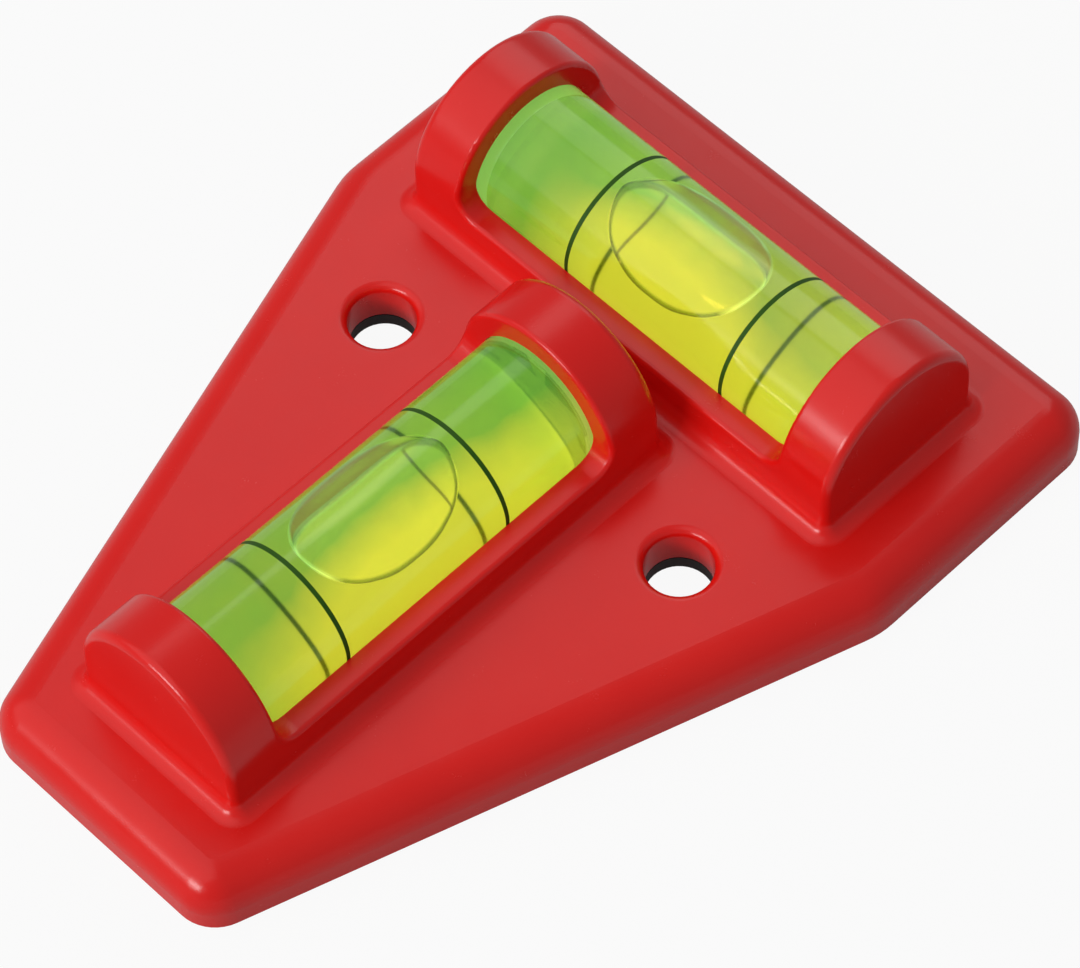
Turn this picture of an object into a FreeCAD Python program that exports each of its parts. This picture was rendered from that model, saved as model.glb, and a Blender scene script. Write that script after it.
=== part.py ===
import FreeCAD, Part
import math
import os

os.makedirs("parts", exist_ok=True)

# The frame: X runs across the plate, Y along it towards the wide end, Z up.
# The origin lies on the underside, midway along the plate's length and width. All sizes are in mm.

# Vials, clear tubes closed at one end by a plug
vial_radius = 5.15
vial_length = 33.6
vial_end_wall = 1.6
vial_end_chamfer = 0.4
vial_wall = 1.25
barrel_radius = 200.0
plug_length = 2.0
plug_wall = 1.05
plug_chamfer = 0.3
line_spacing = 14.0
line_width = 0.34
line_depth = 0.07

# Bubbles
bubble_length = 12.2
bubble_width = 6.6
bubble_height = 2.1
bubble_edge_round = 0.9
bubble_travel_deg = 2.3

# Where each vial lies in its seat, and each bubble in its vial
cross_vial_shift = 0.84
long_vial_shift = -0.21
cross_bubble_shift = -0.65
long_bubble_shift = 0.3

# Barrel housings that hold the vials on the plate
vial_end_play = 1.9
barrel_wall = 1.7
end_wall = 1.15
barrel_edge_round = 0.6
barrel_foot_round = 1.2
cap_length = 4.3
window_sill = 0.26
window_corner = 1.7
window_edge_round = 0.35
snap_radius = 0.6
snap_length = 1.8

# Plate: what it leaves round the two housings
narrow_end_margin = 5.83
narrow_side_margin = 3.15
wide_end_margin = 5.9
wide_side_margin = 6.05
valley_width = 2.67
straight_side = 20.7
plate_thickness = 4.1
edge_round = 2.6
corner_extra = 0.4
shoulder_radius = 7.0

# Screw holes
hole_radius = 2.3
hole_to_long_housing = 6.8
hole_to_cross_housing = 7.98
hole_rim_round = 0.6

# Underside
sheet_thickness = 1.0
film_thickness = 0.1
film_hole_margin = 0.4
sheet_rim = 1.6
vial_floor_gap = 1.01
pocket_rim = 3.6
pocket_wall = 1.2
pocket_skin = 1.8
first_rib = 13.0
rib_step = 10.5
rib_count = 2
boss_radius = 4.4

# Clearances
vial_clearance = 0.05
snap_clearance = 0.05
sheet_clearance = 0.15
plug_clearance = 0.04
liquid_clearance = 0.02
line_clearance = 0.01
bubble_clearance = 0.12

# Sizes that follow from the ones above
seat_radius = vial_radius + vial_clearance
barrel_outer = seat_radius + barrel_wall
seat_length = vial_length + vial_end_play
barrel_length = seat_length + 2 * end_wall
window_length = barrel_length - 2 * cap_length
length = narrow_end_margin + barrel_length + valley_width + 2 * barrel_outer + wide_end_margin
wide_width = barrel_length + 2 * wide_side_margin
narrow_width = 2 * (barrel_outer + narrow_side_margin)
half_length = length / 2
cross_y = half_length - wide_end_margin - barrel_outer
long_y = narrow_end_margin + barrel_length / 2 - half_length
corner_radius = edge_round + corner_extra
recess_depth = sheet_thickness + film_thickness
axis_height = recess_depth + vial_floor_gap + vial_radius
window_floor = axis_height - window_sill
pocket_height = plate_thickness - pocket_skin
bore_radius = vial_radius - vial_wall
plug_radius = vial_radius - plug_wall
bore_start = vial_end_wall - vial_length / 2
bore_end = vial_length / 2 - plug_length
arc_centre_z = axis_height + bore_radius - barrel_radius
bubble_floor_radius = barrel_radius - bubble_clearance - bubble_height
bubble_travel = math.radians(bubble_travel_deg) * barrel_radius
shoulder_reach = bubble_travel + (bubble_length - bubble_width) / 2
bore_fall = barrel_radius - math.sqrt(barrel_radius ** 2 - shoulder_reach ** 2)
crown_radius = bore_radius - bubble_clearance - bore_fall
hole_x = barrel_outer + hole_to_long_housing
hole_y = cross_y - barrel_outer - hole_to_cross_housing
hole_centres = [(-hole_x, hole_y), (hole_x, hole_y)]


def vec(x, y, z=0.0):
    return FreeCAD.Vector(x, y, z)


def box(x0, x1, y0, y1, z0, z1):
    return Part.makeBox(x1 - x0, y1 - y0, z1 - z0, vec(x0, y0, z0))


def bar_x(radius, x0, x1):
    """Round bar along X at the vial's height."""
    return Part.makeCylinder(radius, x1 - x0, vec(x0, 0, axis_height), vec(1, 0, 0))


def export(name, shape):
    shape.exportStep("parts/" + name + ".step")


# Plate outline with rounded corners, drawn inset by a chosen distance
def inset_corners(points, inset):
    moved = []
    count = len(points)
    for i in range(count):
        before = points[i] - points[i - 1]
        after = points[(i + 1) % count] - points[i]
        before.normalize()
        after.normalize()
        normal_a = vec(-before.y, before.x)
        normal_b = vec(-after.y, after.x)
        bisector = normal_a + normal_b
        moved.append(points[i] + bisector * (inset / (1 + normal_a.dot(normal_b))))
    return moved


def rounded_wire(points, radii, z):
    count = len(points)
    arcs = []
    for i in range(count):
        back = points[i - 1] - points[i]
        ahead = points[(i + 1) % count] - points[i]
        back.normalize()
        ahead.normalize()
        half_angle = back.getAngle(ahead) / 2
        reach = radii[i] / math.tan(half_angle)
        inward = back + ahead
        inward.normalize()
        middle = points[i] + inward * (radii[i] / math.sin(half_angle) - radii[i])
        lift = vec(0, 0, z)
        arcs.append((points[i] + back * reach + lift, middle + lift, points[i] + ahead * reach + lift))
    edges = []
    for i in range(count):
        start, middle, end = arcs[i]
        edges.append(Part.Arc(start, middle, end).toShape())
        edges.append(Part.makeLine(end, arcs[(i + 1) % count][0]))
    return Part.Wire(edges)


def plate_block(inset, z0, z1):
    """Upright block with the plate's outline, drawn in by the inset."""
    wide = wide_width / 2
    narrow = narrow_width / 2
    shoulder_y = half_length - straight_side
    points = [
        vec(-narrow, -half_length),
        vec(narrow, -half_length),
        vec(wide, shoulder_y),
        vec(wide, half_length),
        vec(-wide, half_length),
        vec(-wide, shoulder_y),
    ]
    corner = max(corner_radius - inset, 0.6)
    shoulder = max(shoulder_radius - inset, 0.6)
    radii = [corner, corner, shoulder, corner, corner, shoulder]
    wire = rounded_wire(inset_corners(points, inset), radii, z0)
    return Part.Face(wire).extrude(vec(0, 0, z1 - z0))


# Placing what is drawn about a vial: the cross vial lies along X, the long one is turned to Y
def place_cross(shape, shift=0.0):
    placed = shape.copy()
    placed.translate(vec(shift, cross_y))
    return placed


def place_long(shape, shift=0.0):
    placed = shape.copy()
    placed.rotate(vec(0, 0), vec(0, 0, 1), 90)
    placed.translate(vec(0, long_y + shift))
    return placed


def at_both_vials(shape):
    return [place_cross(shape), place_long(shape)]


# Housing: one red moulding
def barrel_outside():
    """Half-round housing over one vial, with softened end edges."""
    half = barrel_length / 2
    top = bar_x(barrel_outer, -half, half)
    walls = box(-half, half, -barrel_outer, barrel_outer, recess_depth, axis_height)
    upper = box(-half, half, -barrel_outer, barrel_outer, axis_height, axis_height + barrel_outer)
    solid = top.common(upper).fuse(walls).removeSplitter()
    ends = []
    for edge in solid.Edges:
        middle = edge.BoundBox.Center
        on_end = abs(abs(middle.x) - half) < 1e-4 and edge.BoundBox.XLength < 1e-4
        if on_end and middle.z > recess_depth + 0.1:
            ends.append(edge)
    return solid.makeFillet(barrel_edge_round, ends)


def window_tool():
    """Cutter for the window: a slab across the barrel with rounded lower corners."""
    half = window_length / 2
    above = axis_height + barrel_outer + 1
    across = barrel_outer + 1
    slab = box(-half, half, -across, across, window_floor, above)
    lower = [e for e in slab.Edges if e.BoundBox.ZMax < window_floor + 1e-4 and e.BoundBox.YLength > across]
    return slab.makeFillet(window_corner, lower)


def seat_tool():
    """Hollow for one vial, open to the underside so that the vial goes in from below."""
    half = seat_length / 2
    channel = box(-half, half, -seat_radius, seat_radius, -1, axis_height)
    return bar_x(seat_radius, -half, half).fuse(channel)


def snap_ridges():
    """Four short ridges that hold one vial up in its seat."""
    reach = vial_radius + snap_clearance + snap_radius
    side = seat_radius + 0.1
    z = axis_height - math.sqrt(reach ** 2 - side ** 2)
    ridges = []
    for end in (-1, 1):
        start = end * window_length / 2 - (0 if end > 0 else snap_length)
        for hand in (-1, 1):
            ridge = Part.makeCylinder(snap_radius, snap_length, vec(start, hand * side, z), vec(1, 0, 0))
            ridges.append(ridge)
    return ridges


def pockets():
    """Shallow hollows in the underside, between ribs, screw bosses and a ledge all round."""
    near_cross = cross_y - barrel_outer - pocket_wall
    block = plate_block(pocket_rim, recess_depth - 0.5, pocket_height)
    spine = barrel_outer + pocket_wall
    keep = [
        box(-spine, spine, -half_length, half_length, 0, pocket_height + 1),
        box(-wide_width, wide_width, near_cross, half_length, 0, pocket_height + 1),
    ]
    for i in range(rib_count):
        y = first_rib + i * rib_step - half_length
        side = pocket_wall / 2
        keep.append(box(-wide_width, wide_width, y - side, y + side, 0, pocket_height + 1))
    for x, y in hole_centres:
        keep.append(Part.makeCylinder(boss_radius, pocket_height + 1, vec(x, y)))
    return block.cut(keep)


def foot_edges(solid):
    """Edges where the barrels stand on the plate's flat top."""
    found = []
    for edge in solid.Edges:
        b = edge.BoundBox
        flat = b.ZLength < 1e-4 and abs(b.ZMin - plate_thickness) < 1e-4
        x, y = b.Center.x, b.Center.y
        at_cross = abs(x) < barrel_length / 2 + 0.1 and abs(y - cross_y) < barrel_outer + 0.1
        at_long = abs(x) < barrel_outer + 0.1 and abs(y - long_y) < barrel_length / 2 + 0.1
        if flat and (at_cross or at_long):
            found.append(edge)
    return found


def window_rims(solid):
    """Outer edges of the windows, on the barrels' round outside."""
    found = []
    for edge in solid.Edges:
        span = edge.LastParameter - edge.FirstParameter
        points = [edge.valueAt(edge.FirstParameter + share * span) for share in (0.1, 0.5, 0.9)]
        for turn, centre in ((0, cross_y), (1, long_y)):
            hits = 0
            for p in points:
                along, aside = (p.x, p.y - centre) if turn == 0 else (p.y - centre, p.x)
                height = max(p.z - axis_height, 0.0)
                on_skin = abs(math.hypot(aside, height) - barrel_outer) < 1e-3
                in_window = abs(along) < window_length / 2 + 1e-3 and p.z > window_floor - 1e-3
                hits += on_skin and in_window
            if hits == 3:
                found.append(edge)
    return found


def rim_edges(solid):
    """Top edges of the screw holes."""
    found = []
    for edge in solid.Edges:
        b = edge.BoundBox
        round_top = abs(b.ZMin - plate_thickness) < 1e-4 and abs(b.XLength - 2 * hole_radius) < 1e-3
        if round_top and b.ZLength < 1e-4:
            found.append(edge)
    return found


def make_housing():
    plate = plate_block(0, 0, plate_thickness)
    top_edges = [e for e in plate.Edges if e.BoundBox.ZMin > plate_thickness - 1e-4]
    plate = plate.makeFillet(edge_round, top_edges)
    body = plate.fuse(at_both_vials(barrel_outside())).removeSplitter()
    body = body.makeFillet(barrel_foot_round, foot_edges(body))
    body = body.cut(at_both_vials(window_tool()))
    body = body.makeFillet(window_edge_round, window_rims(body))
    body = body.cut(at_both_vials(seat_tool()))
    body = body.cut(plate_block(sheet_rim, -1, recess_depth))
    body = body.cut(pockets())
    for x, y in hole_centres:
        body = body.cut(Part.makeCylinder(hole_radius, plate_thickness + 2, vec(x, y, -1)))
    body = body.makeFillet(hole_rim_round, rim_edges(body))
    ridges = []
    for ridge in snap_ridges():
        ridges += at_both_vials(ridge)
    return body.fuse(ridges).removeSplitter()


# Magnetic sheet and the film that glues it into the underside
def underside_layer(z0, z1, opening):
    """Flat layer with the recess's outline and a round opening at each screw hole."""
    layer = plate_block(sheet_rim + sheet_clearance, z0, z1)
    for x, y in hole_centres:
        layer = layer.cut(Part.makeCylinder(opening, z1 - z0 + 2, vec(x, y, z0 - 1)))
    return layer


def make_magnet_sheet():
    return underside_layer(0, sheet_thickness, hole_radius)


def make_adhesive_film():
    return underside_layer(sheet_thickness, recess_depth, hole_radius + film_hole_margin)


# Vials, drawn about the middle of their two lines
def barrel_bore(radius, x0, x1):
    """Barrel-shaped round solid: its radius is largest at the middle and falls along a wide arc."""
    def point(x):
        rise = math.sqrt(barrel_radius ** 2 - x ** 2) - barrel_radius
        return vec(x, 0, axis_height + radius + rise)
    arc = Part.Arc(point(x0), point((x0 + x1) / 2), point(x1)).toShape()
    left = vec(x0, 0, axis_height)
    right = vec(x1, 0, axis_height)
    sides = [
        Part.makeLine(left, point(x0)),
        arc,
        Part.makeLine(point(x1), right),
        Part.makeLine(right, left),
    ]
    return Part.Face(Part.Wire(sides)).revolve(left, vec(1, 0, 0), 360)


def line_ring(outer, inner, width, centre):
    ring = bar_x(outer, centre - width / 2, centre + width / 2)
    return ring.cut(bar_x(inner, centre - width, centre + width))


def make_vial_body():
    half = vial_length / 2
    body = bar_x(vial_radius, -half, half)
    body = body.makeChamfer(vial_end_chamfer, [e for e in body.Edges if e.BoundBox.XLength < 1e-4])
    body = body.cut(barrel_bore(bore_radius, bore_start, bore_end))
    body = body.cut(bar_x(plug_radius, bore_end, half + 1))
    for side in (-1, 1):
        groove = line_ring(vial_radius + 1, vial_radius - line_depth, line_width, side * line_spacing / 2)
        body = body.cut(groove)
    return body


def make_plug():
    half = vial_length / 2
    plug = bar_x(plug_radius - plug_clearance, bore_end, half)
    outer = [e for e in plug.Edges if e.BoundBox.XMin > half - 1e-4]
    return plug.makeChamfer(plug_chamfer, outer)


def make_line(side):
    width = line_width - 2 * line_clearance
    inner = vial_radius - line_depth + line_clearance
    return line_ring(vial_radius, inner, width, side * line_spacing / 2)


def swing(shape, travel):
    """Move a shape along the bore's top, about the centre of the barrel's arc."""
    moved = shape.copy()
    moved.rotate(vec(0, 0, arc_centre_z), vec(0, 1, 0), math.degrees(travel / barrel_radius))
    return moved


def slot_block(long_side, short_side, z0, z1):
    """Upright block with two straight sides and half-round ends."""
    radius = short_side / 2
    reach = long_side / 2 - radius
    block = box(-reach, reach, -radius, radius, z0, z1)
    ends = [Part.makeCylinder(radius, z1 - z0, vec(side * reach, 0, z0)) for side in (-1, 1)]
    return block.fuse(ends).removeSplitter()


def make_bubble(shift):
    floor_z = arc_centre_z + bubble_floor_radius
    block = slot_block(bubble_length, bubble_width, floor_z, axis_height + bore_radius + 1)
    lower = [e for e in block.Edges if e.BoundBox.ZMax < floor_z + 1e-4]
    block = block.makeFillet(bubble_edge_round, lower)
    sweep_radius = barrel_radius - bubble_clearance - crown_radius
    tube = Part.makeTorus(sweep_radius, crown_radius, vec(0, 0, arc_centre_z), vec(0, 1, 0))
    return swing(block.common(tube), shift)


def make_liquid():
    start = bore_start + liquid_clearance
    end = bore_end - liquid_clearance
    inner = barrel_bore(bore_radius - liquid_clearance, start, end)
    run = bubble_length + 2 * (bubble_travel + bubble_clearance)
    wide = bubble_width + 2 * bubble_clearance
    path = slot_block(run, wide, axis_height, axis_height + bore_radius + 1)
    floor_radius = bubble_floor_radius - bubble_clearance
    floor = Part.makeCylinder(floor_radius, 2 * wide, vec(0, -wide, arc_centre_z), vec(0, 1, 0))
    return inner.cut(path.cut(floor))


# Write every piece
export("housing", make_housing())
export("magnet_sheet", make_magnet_sheet())
export("adhesive_film", make_adhesive_film())
for vial, place, vial_shift, bubble_shift in (
    ("cross", place_cross, cross_vial_shift, cross_bubble_shift),
    ("long", place_long, long_vial_shift, long_bubble_shift),
):
    export(vial + "_vial_body", place(make_vial_body(), vial_shift))
    export(vial + "_vial_plug", place(make_plug(), vial_shift))
    export(vial + "_vial_first_line", place(make_line(-1), vial_shift))
    export(vial + "_vial_second_line", place(make_line(1), vial_shift))
    export(vial + "_vial_liquid", place(make_liquid(), vial_shift))
    export(vial + "_vial_bubble", place(make_bubble(bubble_shift), vial_shift))
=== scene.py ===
"""Dresses a pocket spirit level: red moulded plate, two liquid vials, magnetic back.

Lengths in the class fields are millimetres unless a name or a docstring says otherwise. The
level's frame has X along the cross vial, Y along the long vial towards the wide end, and Z up
from the underside.
"""

import enum
import logging
import math
from collections.abc import Mapping, Sequence
from dataclasses import dataclass, field
from typing import Any

import bmesh
import bpy
from mathutils import Matrix, Vector

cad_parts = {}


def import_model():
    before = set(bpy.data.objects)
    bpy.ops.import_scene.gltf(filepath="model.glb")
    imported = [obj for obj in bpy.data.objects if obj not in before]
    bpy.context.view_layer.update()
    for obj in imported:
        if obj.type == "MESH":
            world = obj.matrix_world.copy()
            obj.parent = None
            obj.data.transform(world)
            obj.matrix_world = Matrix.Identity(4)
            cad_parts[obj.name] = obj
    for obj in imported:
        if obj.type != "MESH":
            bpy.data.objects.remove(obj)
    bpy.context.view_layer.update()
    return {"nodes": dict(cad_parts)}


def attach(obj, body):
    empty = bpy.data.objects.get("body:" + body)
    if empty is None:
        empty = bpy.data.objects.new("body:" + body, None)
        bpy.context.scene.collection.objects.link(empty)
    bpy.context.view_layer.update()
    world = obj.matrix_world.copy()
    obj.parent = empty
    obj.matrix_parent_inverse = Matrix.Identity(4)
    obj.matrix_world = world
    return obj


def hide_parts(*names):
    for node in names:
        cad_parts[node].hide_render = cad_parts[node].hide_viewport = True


LOG = logging.getLogger("spirit_level")
MM = 0.001
SHARP_ANGLE_DEG = 32
NOISE_ROUGHNESS = 0.55

# Socket numbers of a Mix node's colours, and of a Mix Shader's share and shaders
MIX_SHARE, MIX_FIRST, MIX_SECOND, MIX_RESULT = 0, 6, 7, 2
SHADER_SHARE, SHADER_FIRST, SHADER_SECOND = 0, 1, 2

Colour = tuple[float, float, float]
Point = tuple[float, float, float]

WHITE: Colour = (1.0, 1.0, 1.0)


def linear(red: int, green: int, blue: int) -> Colour:
    """Turn a colour as it is seen on a screen into the scene's linear values.

    Args:
        red: Red from 0 to 255.
        green: Green from 0 to 255.
        blue: Blue from 0 to 255.

    Returns:
        The linear red, green and blue.
    """
    def channel(level: int) -> float:
        """Undo the sRGB curve for one channel."""
        share = level / 255
        return share / 12.92 if share <= 0.04045 else ((share + 0.055) / 1.055) ** 2.4

    return (channel(red), channel(green), channel(blue))


def opaque(colour: Colour) -> tuple[float, float, float, float]:
    """A colour with full alpha, as a node's input wants it."""
    return (*colour, 1.0)


def rounded(share: float, power: float) -> float:
    """Height of a rounded outline from 0 to 1.

    Args:
        share: Place from -1 to 1 across the outline.
        power: How square its shoulders are.

    Returns:
        The height at that place.
    """
    return (1 - abs(share) ** power) ** 0.5


class Direction(enum.Enum):
    """The way a vial lies on the plate."""

    ACROSS = "across"
    ALONG = "along"


class Value:
    """A number socket in a material, on which sums are written as plain expressions."""

    def __init__(self, web: "NodeWeb", socket: bpy.types.NodeSocket) -> None:
        """Wrap one socket of the given web."""
        self.web = web
        self.socket = socket

    def _combine(self, operation: str, first: Any, second: Any) -> "Value":
        """Add one Math node.

        Args:
            operation: The Math node's operation.
            first: Its first value or number.
            second: Its second value or number.

        Returns:
            The node's result.
        """
        maths = self.web.node("ShaderNodeMath", {"operation": operation}, {0: first, 1: second})
        return Value(self.web, maths.outputs[0])

    def __add__(self, other: Any) -> "Value":
        """Sum of this value and another."""
        return self._combine("ADD", self, other)

    __radd__ = __add__

    def __sub__(self, other: Any) -> "Value":
        """This value less another."""
        return self._combine("SUBTRACT", self, other)

    def __rsub__(self, other: Any) -> "Value":
        """Another number less this value."""
        return self._combine("SUBTRACT", other, self)

    def __mul__(self, other: Any) -> "Value":
        """Product of this value and another."""
        return self._combine("MULTIPLY", self, other)

    def __truediv__(self, other: Any) -> "Value":
        """This value over another."""
        return self._combine("DIVIDE", self, other)

    def __neg__(self) -> "Value":
        """This value with its sign turned."""
        return self * -1.0

    def centred(self) -> "Value":
        """Noise moved down by half its range, so that it varies about 0."""
        return self - 0.5

    def clamped(self) -> "Value":
        """This value held between 0 and 1."""
        held = self.web.node("ShaderNodeClamp", {}, {"Value": self, "Min": 0.0, "Max": 1.0})
        return Value(self.web, held.outputs[0])


class NodeWeb:
    """The node tree of one material or world, built from empty."""

    def __init__(self, owner: Any) -> None:
        """Clear the owner's node tree.

        Args:
            owner: A material or a world.
        """
        owner.use_nodes = True
        self.tree = owner.node_tree
        self.tree.nodes.clear()

    def node(
        self, kind: str, settings: Mapping[str, Any], inputs: Mapping[Any, Any],
    ) -> bpy.types.Node:
        """Add a node.

        Args:
            kind: The node's type.
            settings: Its properties.
            inputs: Numbers, colours, values or sockets for its inputs, by name or number.

        Returns:
            The new node.
        """
        made = self.tree.nodes.new(kind)
        for name, setting in settings.items():
            setattr(made, name, setting)
        for name, given in inputs.items():
            if isinstance(given, Value):
                given = given.socket
            if isinstance(given, bpy.types.NodeSocket):
                self.tree.links.new(given, made.inputs[name])
            else:
                made.inputs[name].default_value = given
        return made

    def place(self) -> bpy.types.NodeSocket:
        """The shaded point's place on the object, in metres."""
        return self.node("ShaderNodeTexCoord", {}, {}).outputs["Object"]

    def part(self, vector: bpy.types.NodeSocket, axis: str) -> Value:
        """One part of a vector.

        Args:
            vector: The vector to take apart.
            axis: "X", "Y" or "Z".

        Returns:
            That part as a value.
        """
        return Value(self, self.node("ShaderNodeSeparateXYZ", {}, {0: vector}).outputs[axis])

    def noise(self, size: float, detail: float) -> Value:
        """Soft noise over the surface.

        Args:
            size: Size of its patches in millimetres.
            detail: How many finer layers it has.

        Returns:
            Its strength from 0 to 1.
        """
        made = self.node("ShaderNodeTexNoise", {}, {
            "Vector": self.place(),
            "Scale": 1 / (size * MM),
            "Detail": detail,
            "Roughness": NOISE_ROUGHNESS,
        })
        return Value(self, made.outputs[0])

    def blend(self, share: Any, first: Any, second: Any) -> bpy.types.NodeSocket:
        """Mix two colours.

        Args:
            share: How much of the second shows.
            first: Colour or socket.
            second: Colour or socket.

        Returns:
            The mixed colour.
        """
        first, second = (
            opaque(given) if isinstance(given, tuple) else given for given in (first, second)
        )
        mixed = self.node(
            "ShaderNodeMix", {"data_type": "RGBA"},
            {MIX_SHARE: share, MIX_FIRST: first, MIX_SECOND: second},
        )
        return mixed.outputs[MIX_RESULT]

    def bump(self, height: Value, depth: float, strength: float) -> bpy.types.NodeSocket:
        """Turn a height into a normal.

        Args:
            height: Height from 0 to 1.
            depth: Depth of the relief in millimetres.
            strength: How strongly it shows.

        Returns:
            The bent normal.
        """
        made = self.node(
            "ShaderNodeBump", {},
            {"Height": height, "Distance": depth * MM, "Strength": strength},
        )
        return made.outputs[0]

    def mix_shaders(self, share: Any, first: bpy.types.Node, second: bpy.types.Node) -> None:
        """Mix two shaders and end the material with them.

        Args:
            share: How much of the second shows.
            first: First shader.
            second: Second shader.
        """
        both = self.node("ShaderNodeMixShader", {}, {
            SHADER_SHARE: share,
            SHADER_FIRST: first.outputs[0],
            SHADER_SECOND: second.outputs[0],
        })
        self.end_with(both)

    def end_with(self, shader: bpy.types.Node) -> None:
        """Join a shader to the material's output."""
        self.node("ShaderNodeOutputMaterial", {}, {"Surface": shader.outputs[0]})

    def surface(self, inputs: Mapping[Any, Any]) -> None:
        """Add the main shader and the output, joined."""
        self.end_with(self.node("ShaderNodeBsdfPrincipled", {}, inputs))

    def clear_surface(self, inputs: Mapping[Any, Any], passed: Colour) -> None:
        """Add a glassy shader that lets the lamps' light through.

        Args:
            inputs: The main shader's inputs.
            passed: What it leaves of the lamps' light.
        """
        shader = self.node("ShaderNodeBsdfPrincipled", {}, inputs)
        path = self.node("ShaderNodeLightPath", {}, {})
        through = self.node("ShaderNodeBsdfTransparent", {}, {"Color": opaque(passed)})
        self.mix_shaders(path.outputs["Is Shadow Ray"], shader, through)

    def plainly_seen(self) -> Value:
        """1 where the camera sees a surface directly or through glass, and otherwise 0."""
        path = self.node("ShaderNodeLightPath", {}, {})
        direct = Value(self, path.outputs["Is Camera Ray"])
        return (direct + Value(self, path.outputs["Is Transmission Ray"])).clamped()


@dataclass(frozen=True)
class Finish:
    """A finish that can be put on pieces."""

    name: str

    def material(self) -> bpy.types.Material:
        """The finish's material, made at its first use."""
        own_name = self.name + "_finish"
        known = bpy.data.materials.get(own_name)
        if known is not None:
            return known
        made = bpy.data.materials.new(own_name)
        self.build(NodeWeb(made))
        return made

    def build(self, web: NodeWeb) -> None:
        """Fill the material's nodes."""
        raise NotImplementedError

    def dress(self, piece: bpy.types.Object) -> None:
        """Put this finish on every material slot of a piece."""
        if not piece.material_slots:
            piece.data.materials.append(self.material())
        for slot in piece.material_slots:
            slot.material = self.material()


@dataclass(frozen=True)
class MouldedRed(Finish):
    """Glossy red ABS with the faint unevenness of a moulding."""

    name: str = "moulded_red"
    body: Colour = linear(220, 16, 14)
    pale: Colour = linear(226, 26, 20)
    pale_contrast: float = 1.6
    pale_cut: float = 0.3
    roughness: float = 0.24
    flow_sheen: float = 0.12
    grain_sheen: float = 0.08
    grain_size: float = 0.16
    flow_size: float = 2.2
    sink_size: float = 9.0
    grain_height: float = 0.5
    flow_height: float = 0.9
    sink_height: float = 2.0
    relief_depth: float = 0.02
    relief_strength: float = 0.35
    ior: float = 1.46

    def build(self, web: NodeWeb) -> None:
        """Fill the material's nodes."""
        sink = web.noise(self.sink_size, 2.0)
        grain = web.noise(self.grain_size, 2.0)
        flow = web.noise(self.flow_size, 3.0)
        relief = grain * self.grain_height + flow * self.flow_height + sink * self.sink_height
        paleness = (sink * self.pale_contrast - self.pale_cut).clamped()
        sheen = flow.centred() * self.flow_sheen + grain.centred() * self.grain_sheen
        web.surface({
            "Base Color": web.blend(paleness, self.body, self.pale),
            "Roughness": self.roughness + sheen,
            "Normal": web.bump(relief, self.relief_depth, self.relief_strength),
            "IOR": self.ior,
        })


@dataclass(frozen=True)
class MagneticRubber(Finish):
    """Black flexible magnet with a fine calendered grain."""

    name: str = "magnetic_rubber"
    body: Colour = linear(30, 30, 31)
    dusty: Colour = linear(48, 46, 45)
    dust_gain: float = 2.0
    grain_size: float = 0.25
    cloud_size: float = 6.0
    roughness: float = 0.62
    grain_sheen: float = 0.3
    relief_depth: float = 0.03
    relief_strength: float = 0.5

    def build(self, web: NodeWeb) -> None:
        """Fill the material's nodes."""
        grain = web.noise(self.grain_size, 4.0)
        cloud = web.noise(self.cloud_size, 3.0)
        dust = (cloud * grain * self.dust_gain).clamped()
        web.surface({
            "Base Color": web.blend(dust, self.body, self.dusty),
            "Roughness": self.roughness + grain.centred() * self.grain_sheen,
            "Normal": web.bump(grain, self.relief_depth, self.relief_strength),
        })


@dataclass(frozen=True)
class TransferTape(Finish):
    """Thin tape that holds the magnet in the plate."""

    name: str = "transfer_tape"
    body: Colour = linear(120, 112, 98)
    thin: Colour = linear(150, 142, 126)
    streak_size: float = 1.5
    roughness: float = 0.3
    streak_sheen: float = 0.2
    relief_depth: float = 0.02
    relief_strength: float = 0.4

    def build(self, web: NodeWeb) -> None:
        """Fill the material's nodes."""
        streak = web.noise(self.streak_size, 4.0)
        web.surface({
            "Base Color": web.blend(streak, self.body, self.thin),
            "Roughness": self.roughness + streak * self.streak_sheen,
            "Normal": web.bump(streak, self.relief_depth, self.relief_strength),
        })


@dataclass(frozen=True)
class VialFinish(Finish):
    """A finish whose colour depends on the place on one vial."""

    centre: Point = (0.0, 0.0, 0.0)
    along: Point = (1.0, 0.0, 0.0)

    def place_along(self, web: NodeWeb, direction: Point, span: float) -> Value:
        """Place of the shaded point along a direction.

        Args:
            web: The material's nodes.
            direction: Direction in the level's frame.
            span: Distance from the centre that counts as 1, in millimetres.

        Returns:
            The place, from -1 to 1 within the span.
        """
        spot = web.place()
        length = math.sqrt(sum(part * part for part in direction))
        total = None
        for axis, part, middle in zip("XYZ", direction, self.centre):
            if part:
                share = (web.part(spot, axis) / MM - middle) * (part / (length * span))
                total = share if total is None else total + share
        return total


@dataclass(frozen=True)
class LightAndTint:
    """How yellow gives way to green along one vial.

    The yellow is painted light, where light gathers on the vial's near flank. The green's start
    and end are in half lengths from the vial's middle. Spread widens the painted yellow light in
    the middle, and warmth turns the green olive towards the end.
    """

    spread: float = 0.5
    green_start: float = -0.66
    green_end: float = 1.1
    warmth: float = 0.9


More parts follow.
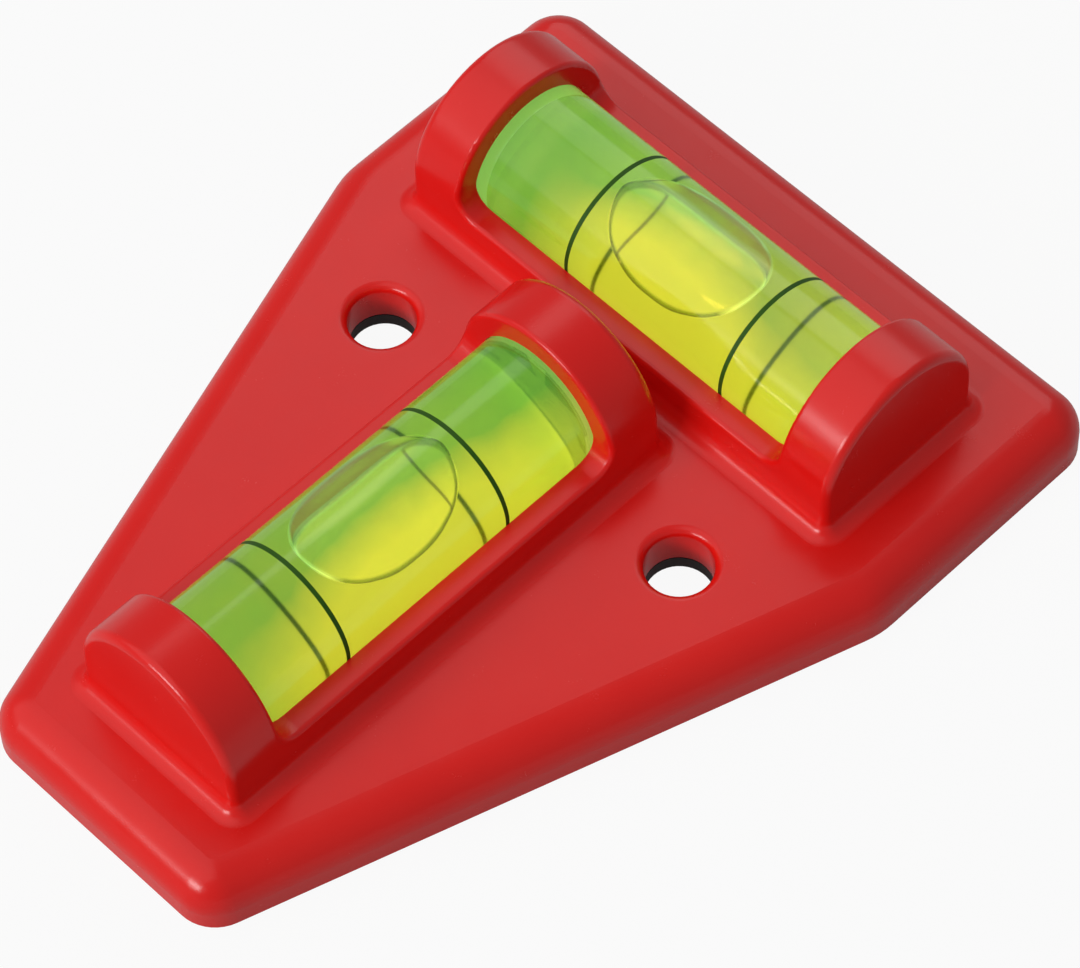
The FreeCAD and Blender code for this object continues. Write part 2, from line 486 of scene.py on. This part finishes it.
@dataclass(frozen=True)
class TintedLitAcrylic(VialFinish):
    """Upper side of a vial: clear, yellow on the flank where light gathers and green elsewhere.

    Its yellow is painted light, and its deep green at the far end is painted shade under the cap.
    Slopes say how sharply one colour turns into the next, and ragged how unevenly.
    """

    name: str = "tinted_lit_acrylic"
    gather: Point = (0.0, -1.0, 0.0)
    radius: float = 5.15
    reach: float = 16.8
    tint: LightAndTint = LightAndTint()
    green: Colour = (0.13, 0.28, 0.13)
    cap_shade_green: Colour = (0.05, 0.18, 0.08)
    olive: Colour = (0.50, 0.34, 0.14)
    yellow: Colour = (1.0, 0.61, 0.11)
    passed: Colour = (0.9, 0.95, 0.6)
    drift_size: float = 5.0
    ragged: float = 0.8
    narrowing: float = 4.0
    flank_slope: float = 1.7
    start_slope: float = 2.6
    end_slope: float = 2.5
    shade_start: float = 0.45
    shade_slope: float = 2.4
    warm_start: float = 0.05
    roughness: float = 0.1
    drift_sheen: float = 0.05
    relief_depth: float = 0.004
    relief_strength: float = 0.3
    ior: float = 1.49

    def build(self, web: NodeWeb) -> None:
        """Fill the material's nodes."""
        drift = web.noise(self.drift_size, 2.0)
        side = self.place_along(web, self.gather, self.radius)
        end = self.place_along(web, self.along, self.reach)
        wide = (1.0 - end * end * self.narrowing).clamped() * self.tint.spread
        uneven = drift.centred() * self.ragged
        # Painted light: yellow on the near flank, where light gathers.
        lit = ((side + wide) * self.flank_slope + uneven).clamped()
        lit = lit * ((end - self.tint.green_start) * self.start_slope).clamped()
        lit = lit * ((self.tint.green_end - end) * self.end_slope).clamped()
        # Painted shade: deep green towards the far end, under the cap.
        shade = ((-end - self.shade_start) * self.shade_slope + uneven).clamped()
        warm = ((end - self.warm_start) * self.tint.warmth + uneven * 0.5).clamped()
        base = web.blend(shade, web.blend(warm, self.green, self.olive), self.cap_shade_green)
        web.clear_surface({
            "Base Color": web.blend(lit, base, self.yellow),
            "Roughness": self.roughness + drift * self.drift_sheen,
            "Normal": web.bump(drift, self.relief_depth, self.relief_strength),
            "IOR": self.ior,
            "Transmission Weight": 1.0,
        }, self.passed)


@dataclass(frozen=True)
class GlowingBack(VialFinish):
    """Underside and ends of a vial, with a painted glow that stands in for light gathering in its
    fluorescent liquid.
    """

    name: str = "glowing_back"
    reach: float = 16.8
    middle_glow: Colour = (0.84, 0.90, 0.26)
    end_glow: Colour = (0.66, 0.84, 0.24)
    plug_glow: Colour = (1.0, 1.0, 0.36)
    dye: Colour = (0.40, 0.46, 0.10)
    dye_fade: float = 0.4
    glow: float = 0.7
    drift_size: float = 4.0
    ragged: float = 0.5
    plug_start: float = 0.87
    plug_slope: float = 20.0
    roughness: float = 0.5
    drift_sheen: float = 0.2

    def build(self, web: NodeWeb) -> None:
        """Fill the material's nodes."""
        drift = web.noise(self.drift_size, 2.0)
        end = self.place_along(web, self.along, self.reach)
        share = (end * end + drift.centred() * self.ragged).clamped()
        plug = ((-end - self.plug_start) * self.plug_slope).clamped()
        colour = web.blend(share, self.middle_glow, self.end_glow)
        # Painted light: the emission glows without a lamp, brightest yellow by the plug.
        web.surface({
            "Base Color": web.blend(share * self.dye_fade, self.dye, self.end_glow),
            "Roughness": self.roughness + drift * self.drift_sheen,
            "Emission Color": web.blend(plug, colour, self.plug_glow),
            "Emission Strength": self.glow,
        })


@dataclass(frozen=True)
class VialLiquid(Finish):
    """Liquid that tints what is seen through it."""

    name: str = "vial_liquid"
    tint: Colour = linear(250, 253, 228)
    dye: Colour = linear(128, 196, 70)
    thin_dye: Colour = linear(168, 206, 62)
    veil: float = 0.12
    drift_size: float = 7.0
    roughness: float = 0.6

    def build(self, web: NodeWeb) -> None:
        """Fill the material's nodes."""
        drift = web.noise(self.drift_size, 2.0)
        clear = web.node("ShaderNodeBsdfTransparent", {}, {"Color": opaque(self.tint)})
        glowing = web.node("ShaderNodeBsdfPrincipled", {}, {
            "Base Color": web.blend(drift, self.dye, self.thin_dye),
            "Roughness": self.roughness,
            "Specular IOR Level": 0.0,
        })
        web.mix_shaders(self.veil, clear, glowing)


@dataclass(frozen=True)
class AirBubble(VialFinish):
    """Skin of an air bubble: its rim is a painted dark line where it faces the lit flank, else a
    painted pale glow.

    The whole skin has a faint painted glow and its far flank a painted reflection. The flank's
    start is a share of the way from the middle to the outline, the rim's its square.
    """

    name: str = "air_bubble"
    aside: Point = (0.0, -1.0, 0.0)
    half_length: float = 6.1
    half_width: float = 3.3
    body: Colour = linear(250, 254, 244)
    thin: Colour = linear(236, 246, 214)
    dark_rim_shade: Colour = linear(90, 120, 30)
    pale_rim_glow: Colour = (0.46, 0.58, 0.30)
    inner_glow: Colour = (0.09, 0.08, 0.03)
    far_flank_reflection: Colour = (0.45, 0.29, 0.12)
    film_size: float = 2.0
    bluntness: float = 0.55
    rim_start: float = 0.88
    rim_slope: float = 18.0
    near_lean: float = 0.8
    near_slope: float = 3.0
    near_lift: float = 0.9
    flank_start: float = 0.42
    flank_slope: float = 6.0
    roughness: float = 0.01
    ior: float = 1.4

    def build(self, web: NodeWeb) -> None:
        """Fill the material's nodes."""
        film = web.noise(self.film_size, 2.0)
        end = self.place_along(web, self.along, self.half_length)
        side = self.place_along(web, self.aside, self.half_width)
        blunt_end = end * end * (end * end * self.bluntness + (1 - self.bluntness))
        rim = ((blunt_end + side * side - self.rim_start) * self.rim_slope).clamped()
        near = ((side - end * self.near_lean) * self.near_slope + self.near_lift).clamped()
        flank = ((-side - self.flank_start) * self.flank_slope).clamped()
        body = web.blend(film, self.body, self.thin)
        # Painted shade: the dark rim line in the base colour. Painted light: the pale rim glow,
        # the far flank's reflection and the faint glow inside, all in the emission.
        inner = web.blend(flank, self.inner_glow, self.far_flank_reflection)
        web.clear_surface({
            "Base Color": web.blend(rim * near, body, self.dark_rim_shade),
            "Emission Color": web.blend(rim * (1.0 - near), inner, self.pale_rim_glow),
            "Emission Strength": 1.0,
            "Roughness": self.roughness,
            "IOR": self.ior,
            "Transmission Weight": 1.0,
        }, self.body)


@dataclass(frozen=True)
class LineInk(Finish):
    """Dark ink of the ring lines."""

    name: str = "line_ink"
    body: Colour = linear(34, 70, 8)
    worn: Colour = linear(50, 94, 14)
    speck_size: float = 0.3
    roughness: float = 0.45
    speck_sheen: float = 0.2
    relief_depth: float = 0.01
    relief_strength: float = 0.3
    specular: float = 0.2

    def build(self, web: NodeWeb) -> None:
        """Fill the material's nodes."""
        speck = web.noise(self.speck_size, 3.0)
        web.surface({
            "Base Color": web.blend(speck, self.body, self.worn),
            "Roughness": self.roughness + speck * self.speck_sheen,
            "Normal": web.bump(speck, self.relief_depth, self.relief_strength),
            "Specular IOR Level": self.specular,
        })


def mesh_piece(name: str, rings: Sequence[Sequence[Point]]) -> bpy.types.Object:
    """Join rings of points into one smooth piece, closed at both ends.

    Args:
        name: The piece's name.
        rings: Rings with equal numbers of points in metres, in order along the piece.

    Returns:
        The new object.
    """
    sheet = bmesh.new()
    rows = [[sheet.verts.new(point) for point in ring] for ring in rings]
    for row, following in zip(rows, rows[1:]):
        for i in range(len(row)):
            j = (i + 1) % len(row)
            sheet.faces.new((row[i], row[j], following[j], following[i]))
    sheet.faces.new(rows[0][::-1])
    sheet.faces.new(rows[-1])
    bmesh.ops.recalc_face_normals(sheet, faces=sheet.faces)
    if sheet.calc_volume(signed=True) < 0:
        bmesh.ops.reverse_faces(sheet, faces=sheet.faces)
    data = bpy.data.meshes.new(name)
    sheet.to_mesh(data)
    sheet.free()
    for face in data.polygons:
        face.use_smooth = True
    data.set_sharp_from_angle(angle=math.radians(SHARP_ANGLE_DEG))
    piece = bpy.data.objects.new(name, data)
    bpy.context.scene.collection.objects.link(piece)
    return piece


@dataclass
class Vial:
    """One vial: clear body, plug, liquid, ring lines and bubble.

    The core radius is that of the small caps that close the turned pieces. The powers say how
    square the bubble is in its outline seen from above, in its height along it and in its rim.
    """

    name: str
    direction: Direction
    middle: Point
    bubble_shift: float
    tint: LightAndTint
    radius: float = 5.15
    length: float = 33.6
    chamfer: float = 0.4
    line_spacing: float = 14.0
    line_width: float = 0.34
    line_depth: float = 0.03
    plug_radius: float = 4.1
    plug_length: float = 2.0
    end_wall: float = 1.6
    bore_radius: float = 3.89
    barrel_radius: float = 200.0
    core_radius: float = 0.02
    around: int = 128
    back_drop: float = 1.2
    plug_margin: float = 0.01
    gather_dip: float = -0.35
    liquid_gap: float = 0.02
    liquid_steps: int = 48
    bubble_length: float = 12.2
    bubble_half_width: float = 3.3
    bubble_height: float = 2.1
    bubble_gap: float = 0.06
    bubble_steps: int = 72
    bubble_sides: int = 96
    crown_radius: float = 3.5
    outline_power: float = 2.8
    height_power: float = 4.0
    rim_power: float = 5.0
    rim_crowding: float = 0.7
    rim_share: float = 0.12
    thinnest: float = 0.01

    def bearings(self) -> tuple[Point, Point]:
        """Directions in which the colours run: along the vial, and towards its near flank."""
        if self.direction is Direction.ACROSS:
            return (1.0, 0.0, 0.0), (0.0, -1.0, 0.0)
        return (0.0, -1.0, 0.0), (1.0, 0.0, 0.0)

    def spot(self, along: float, aside: float, up: float) -> Point:
        """Turn a place on the vial into the level's frame.

        Args:
            along: Distance along the vial from its middle.
            aside: Distance to the vial's side.
            up: Height above the vial's axis.

        Returns:
            The point in millimetres.
        """
        x, y, z = self.middle
        if self.direction is Direction.ACROSS:
            return (x + along, y + aside, z + up)
        return (x - aside, y + along, z + up)

    def turned(self, along: float, aside: float, up: float) -> Point:
        """The same place as spot gives, in metres."""
        x, y, z = self.spot(along, aside, up)
        return (x * MM, y * MM, z * MM)

    def ring(self, along: float, radius: float) -> list[Point]:
        """A circle of points round the vial's axis."""
        step = 2 * math.pi / self.around
        return [
            self.turned(along, radius * math.sin(i * step), radius * math.cos(i * step))
            for i in range(self.around)
        ]

    def body_profile(self) -> list[tuple[float, float]]:
        """Outline of the clear body as distances along the vial and radii."""
        half = self.length / 2
        profile = [
            (-half, self.core_radius),
            (-half, self.radius - self.chamfer),
            (self.chamfer - half, self.radius),
        ]
        for side in (-1, 1):
            left = side * self.line_spacing / 2 - self.line_width / 2
            right = left + self.line_width
            low = self.radius - self.line_depth
            profile += [(left, self.radius), (left, low), (right, low), (right, self.radius)]
        return profile + [
            (half - self.chamfer, self.radius),
            (half, self.radius - self.chamfer),
            (half, self.plug_radius),
            (half - self.plug_length, self.plug_radius),
            (half - self.plug_length, self.core_radius),
        ]

    def build_body(self, clear: Finish, back: Finish) -> bpy.types.Object:
        """Build the clear body as one block, because liquid and acrylic bend light alike.

        Args:
            clear: Finish of its upper side.
            back: Finish of its underside and ends, which only show through it.

        Returns:
            The body.
        """
        rings = [self.ring(along, radius) for along, radius in self.body_profile()]
        body = mesh_piece(self.name + "_vial_clear_body", rings)
        body.data.materials.append(clear.material())
        body.data.materials.append(back.material())
        half = self.length / 2
        axis = 0 if self.direction is Direction.ACROSS else 1
        # Faces low on the vial, at its ends and by the plug take the back finish with its painted
        # glow.
        for face in body.data.polygons:
            along = face.center[axis] / MM - self.middle[axis]
            low = face.center.z / MM < self.middle[2] - self.back_drop
            by_plug = along > half - self.plug_length - self.plug_margin
            face.material_index = int(low or by_plug or abs(along) > half - self.chamfer)
        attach(body, "level")
        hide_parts(self.name + "_vial_body")
        return body

    def arc_drop(self, along: float) -> float:
        """Fall of the barrel's arc at a distance from its middle, as a negative height."""
        return math.sqrt(self.barrel_radius ** 2 - along ** 2) - self.barrel_radius

    def build_liquid(self, finish: Finish) -> bpy.types.Object:
        """Build the filling out to the barrel-shaped bore's wall.

        Args:
            finish: The liquid's finish.

        Returns:
            The filling.
        """
        start = self.end_wall - self.length / 2 + self.liquid_gap
        end = self.length / 2 - self.plug_length - self.liquid_gap
        rings = [self.ring(start, self.core_radius)]
        for i in range(self.liquid_steps + 1):
            along = start + (end - start) * i / self.liquid_steps
            rings.append(self.ring(along, self.bore_radius + self.arc_drop(along)))
        rings.append(self.ring(end, self.core_radius))
        liquid = mesh_piece(self.name + "_vial_filling", rings)
        finish.dress(liquid)
        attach(liquid, "level")
        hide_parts(self.name + "_vial_liquid")
        return liquid

    def bubble_ring(self, share: float) -> list[Point]:
        """One ring of the bubble's skin.

        Args:
            share: Place from -1 to 1 along the bubble.

        Returns:
            The ring's points.
        """
        crown = self.crown_radius
        rise = self.bore_radius - self.bubble_gap - crown
        along = share * self.bubble_length / 2 + self.bubble_shift
        width = max(self.bubble_half_width * rounded(share, self.outline_power), self.thinnest)
        height = max(self.bubble_height * rounded(share, self.height_power), self.thinnest)
        drop = self.arc_drop(along)
        edge = rise + math.sqrt(crown ** 2 - width ** 2)
        floor = min(rise + crown - height, edge - self.rim_share * height)
        middle = (edge + floor) / 2
        ring = []
        for k in range(self.bubble_sides):
            turn = 2 * math.pi * k / self.bubble_sides
            aside = math.copysign(abs(math.sin(turn)) ** self.rim_crowding, math.sin(turn))
            thick = math.copysign(rounded(aside, self.rim_power), math.cos(turn))
            top = rise + math.sqrt(crown ** 2 - (aside * width) ** 2)
            up = middle + (top - middle if thick > 0 else middle - floor) * thick
            ring.append(self.turned(along, aside * width, up + drop))
        return ring

    def build_bubble(self, finish: Finish) -> bpy.types.Object:
        """Build the bubble: its top follows the bore, its floor is flat and its rim is round.

        Args:
            finish: The bubble's finish.

        Returns:
            The bubble.
        """
        rings = [
            self.bubble_ring(-math.cos(math.pi * i / self.bubble_steps))
            for i in range(self.bubble_steps + 1)
        ]
        bubble = mesh_piece(self.name + "_vial_air_bubble", rings)
        bubble.data.flip_normals()
        finish.dress(bubble)
        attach(bubble, self.name + "_bubble")
        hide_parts(self.name + "_vial_bubble")
        return bubble

    def build(self, nodes: Mapping[str, bpy.types.Object]) -> None:
        """Build and dress every piece of the vial.

        Args:
            nodes: The loaded pieces by name.
        """
        along, near = self.bearings()
        acrylic = TintedLitAcrylic(
            name=self.name + "_tinted_lit_acrylic",
            centre=self.middle,
            along=along,
            gather=(near[0], near[1], self.gather_dip),
            radius=self.radius,
            reach=self.length / 2,
            tint=self.tint,
        )
        back = GlowingBack(
            name=self.name + "_glowing_back",
            centre=self.middle,
            along=along,
            reach=self.length / 2,
        )
        self.build_body(acrylic, back)
        acrylic.dress(nodes[self.name + "_vial_plug"])
        self.build_liquid(VialLiquid())
        self.build_bubble(AirBubble(
            name=self.name + "_air_bubble",
            centre=self.spot(self.bubble_shift, 0.0, 0.0),
            along=along,
            aside=near,
            half_length=self.bubble_length / 2,
            half_width=self.bubble_half_width,
        ))
        for line in ("first", "second"):
            LineInk().dress(nodes[self.name + "_vial_" + line + "_line"])
        LOG.info("%s vial built", self.name)


@dataclass
class Body:
    """The red moulding and what closes its underside."""

    finishes: dict[str, Finish] = field(default_factory=lambda: {
        "housing": MouldedRed(),
        "magnet_sheet": MagneticRubber(),
        "adhesive_film": TransferTape(),
    })

    def build(self, nodes: Mapping[str, bpy.types.Object]) -> None:
        """Dress the moulding, the magnet and the tape.

        Args:
            nodes: The loaded pieces by name.
        """
        for name, finish in self.finishes.items():
            finish.dress(nodes[name])
            LOG.info("%s dressed", name)


@dataclass(frozen=True)
class Lamp:
    """One soft rectangular lamp, aimed at the level; lengths are in metres, power in watts."""

    name: str
    towards: Point
    distance: float
    width: float
    height: float
    power: float

    def build(self) -> None:
        """Hang the lamp."""
        data = bpy.data.lights.new(self.name, "AREA")
        data.shape = "RECTANGLE"
        data.size = self.width
        data.size_y = self.height
        data.energy = self.power
        lamp = bpy.data.objects.new(self.name, data)
        away = Vector(self.towards).normalized()
        lamp.location = away * self.distance
        lamp.rotation_euler = away.to_track_quat("Z", "Y").to_euler()
        bpy.context.scene.collection.objects.link(lamp)


@dataclass(frozen=True)
class PaleFloor(Finish):
    """White table that keeps the level's shadow."""

    name: str = "pale_floor"
    body: Colour = (0.45, 0.45, 0.45)
    plain_share: float = 0.93
    mirrored_share: float = 0.2

    def build(self, web: NodeWeb) -> None:
        """Fill the material's nodes."""
        path = web.node("ShaderNodeLightPath", {}, {})
        mirrored = Value(web, path.outputs["Is Glossy Ray"]) * self.mirrored_share
        seen = (web.plainly_seen() * self.plain_share + mirrored).clamped()
        matt = web.node("ShaderNodeBsdfDiffuse", {}, {"Color": opaque(self.body)})
        plain = web.node("ShaderNodeEmission", {}, {"Color": opaque(WHITE), "Strength": 1.0})
        web.mix_shaders(seen, matt, plain)


@dataclass
class Studio:
    """Floor, light and camera; the floor's lengths and the near clip are in metres."""

    floor_reach: float = 3.0
    floor_height: float = -0.00002
    sky: float = 0.32
    lamps: tuple[Lamp, ...] = (
        Lamp("front_lamp", (-0.08, -0.89, 0.43), 0.8, 0.42, 0.18, 2.8),
        Lamp("top_lamp", (-0.35, -0.45, 0.82), 0.9, 1.2, 1.2, 3.1),
        Lamp("back_lamp", (-0.42, 0.62, 0.66), 0.9, 0.6, 0.6, 1.3),
    )
    camera_place: Point = (139.63, -123.281, 290.342)
    camera_right: Point = (0.7054, 0.7085, -0.0231)
    camera_up: Point = (-0.5853, 0.6005, 0.5448)
    camera_back: Point = (0.3998, -0.3708, 0.8383)
    lens: float = 176.55
    sensor_width: float = 36.0
    near_clip: float = 0.01

    def build_floor(self) -> None:
        """Lay the floor just under the level."""
        reach = self.floor_reach
        corners = [(-reach, -reach), (reach, -reach), (reach, reach), (-reach, reach)]
        data = bpy.data.meshes.new("floor")
        data.from_pydata([(x, y, self.floor_height) for x, y in corners], [], [(0, 1, 2, 3)])
        floor = bpy.data.objects.new("floor", data)
        bpy.context.scene.collection.objects.link(floor)
        PaleFloor().dress(floor)

    def build_sky(self) -> None:
        """Light the level evenly, and show plain white behind it."""
        world = bpy.data.worlds.new("sky")
        bpy.context.scene.world = world
        web = NodeWeb(world)
        sky = web.node("ShaderNodeBackground", {}, {
            "Color": opaque(WHITE),
            "Strength": self.sky + web.plainly_seen() * (1 - self.sky),
        })
        web.node("ShaderNodeOutputWorld", {}, {"Surface": sky.outputs[0]})

    def build_camera(self) -> None:
        """Set the camera where the photograph was taken."""
        data = bpy.data.cameras.new("camera")
        data.sensor_width = self.sensor_width
        data.sensor_fit = "HORIZONTAL"
        data.lens = self.lens
        data.clip_start = self.near_clip
        camera = bpy.data.objects.new("camera", data)
        turn = Matrix((self.camera_right, self.camera_up, self.camera_back)).transposed()
        place = Matrix.Translation(Vector(self.camera_place) * MM)
        camera.matrix_world = place @ turn.to_4x4()
        bpy.context.scene.collection.objects.link(camera)
        bpy.context.scene.camera = camera

    def build(self) -> None:
        """Set up the whole studio."""
        self.build_floor()
        self.build_sky()
        for lamp in self.lamps:
            lamp.build()
        self.build_camera()
        bpy.context.scene.view_settings.view_transform = "Standard"
        LOG.info("studio built")


def main() -> None:
    """Load the level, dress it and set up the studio."""
    logging.basicConfig(level=logging.INFO, format="%(message)s")
    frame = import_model()
    nodes = frame["nodes"]
    Body().build(nodes)
    green_ended = LightAndTint(spread=0.28, green_start=-0.94, green_end=0.95, warmth=0.15)
    for vial in (
        Vial("cross", Direction.ACROSS, (0.84, 20.2, 7.26), -0.65, LightAndTint()),
        Vial("long", Direction.ALONG, (0.0, -8.48, 7.26), 0.3, green_ended),
    ):
        vial.build(nodes)
    Studio().build()


if __name__ == "__main__":
    main()
